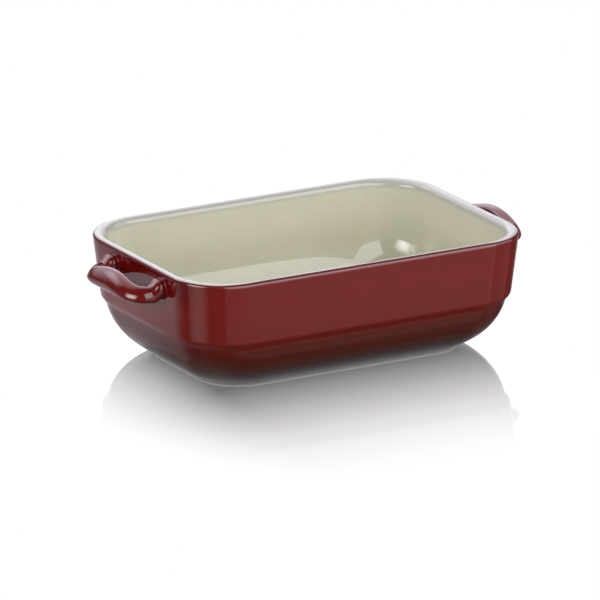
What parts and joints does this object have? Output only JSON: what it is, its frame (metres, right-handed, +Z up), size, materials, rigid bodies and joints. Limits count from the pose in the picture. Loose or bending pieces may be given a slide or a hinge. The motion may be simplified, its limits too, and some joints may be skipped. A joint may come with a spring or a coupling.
{
  "type": "rectangular ceramic baking dish",
  "caption": "Deep rectangular glazed stoneware baking dish with rounded corners, a stepped-in lower bowl on a foot ring and a loop handle at each short end, red outside and cream inside.",
  "frame": {"origin": "middle of the dish on the surface it stands on", "axes": "+X along the length, from the left handle to the right handle; +Y from the front long side to the back one; +Z up"},
  "size_m": [0.308, 0.1774, 0.081],
  "materials": {
    "bare_stoneware": "unglazed fired clay, matt and faintly grainy",
    "slip": "fired slip, matt",
    "red_glaze": "glossy dark red glaze, shading to brown black below the ledge",
    "cream_glaze": "glossy cream glaze, whiter where it thins over the rim",
    "underside_glaze": "thin satin glaze"
  },
  "bodies": {
    "root": {"stoneware_body": "bare_stoneware", "left_handle": "bare_stoneware", "right_handle": "bare_stoneware", "left_front_slip_joint": "slip", "left_rear_slip_joint": "slip", "right_front_slip_joint": "slip", "right_rear_slip_joint": "slip", "outer_glaze": "red_glaze", "left_handle_glaze": "red_glaze", "right_handle_glaze": "red_glaze", "inner_glaze": "cream_glaze", "underside_glaze": "underside_glaze"}
  },
  "joints": []
}
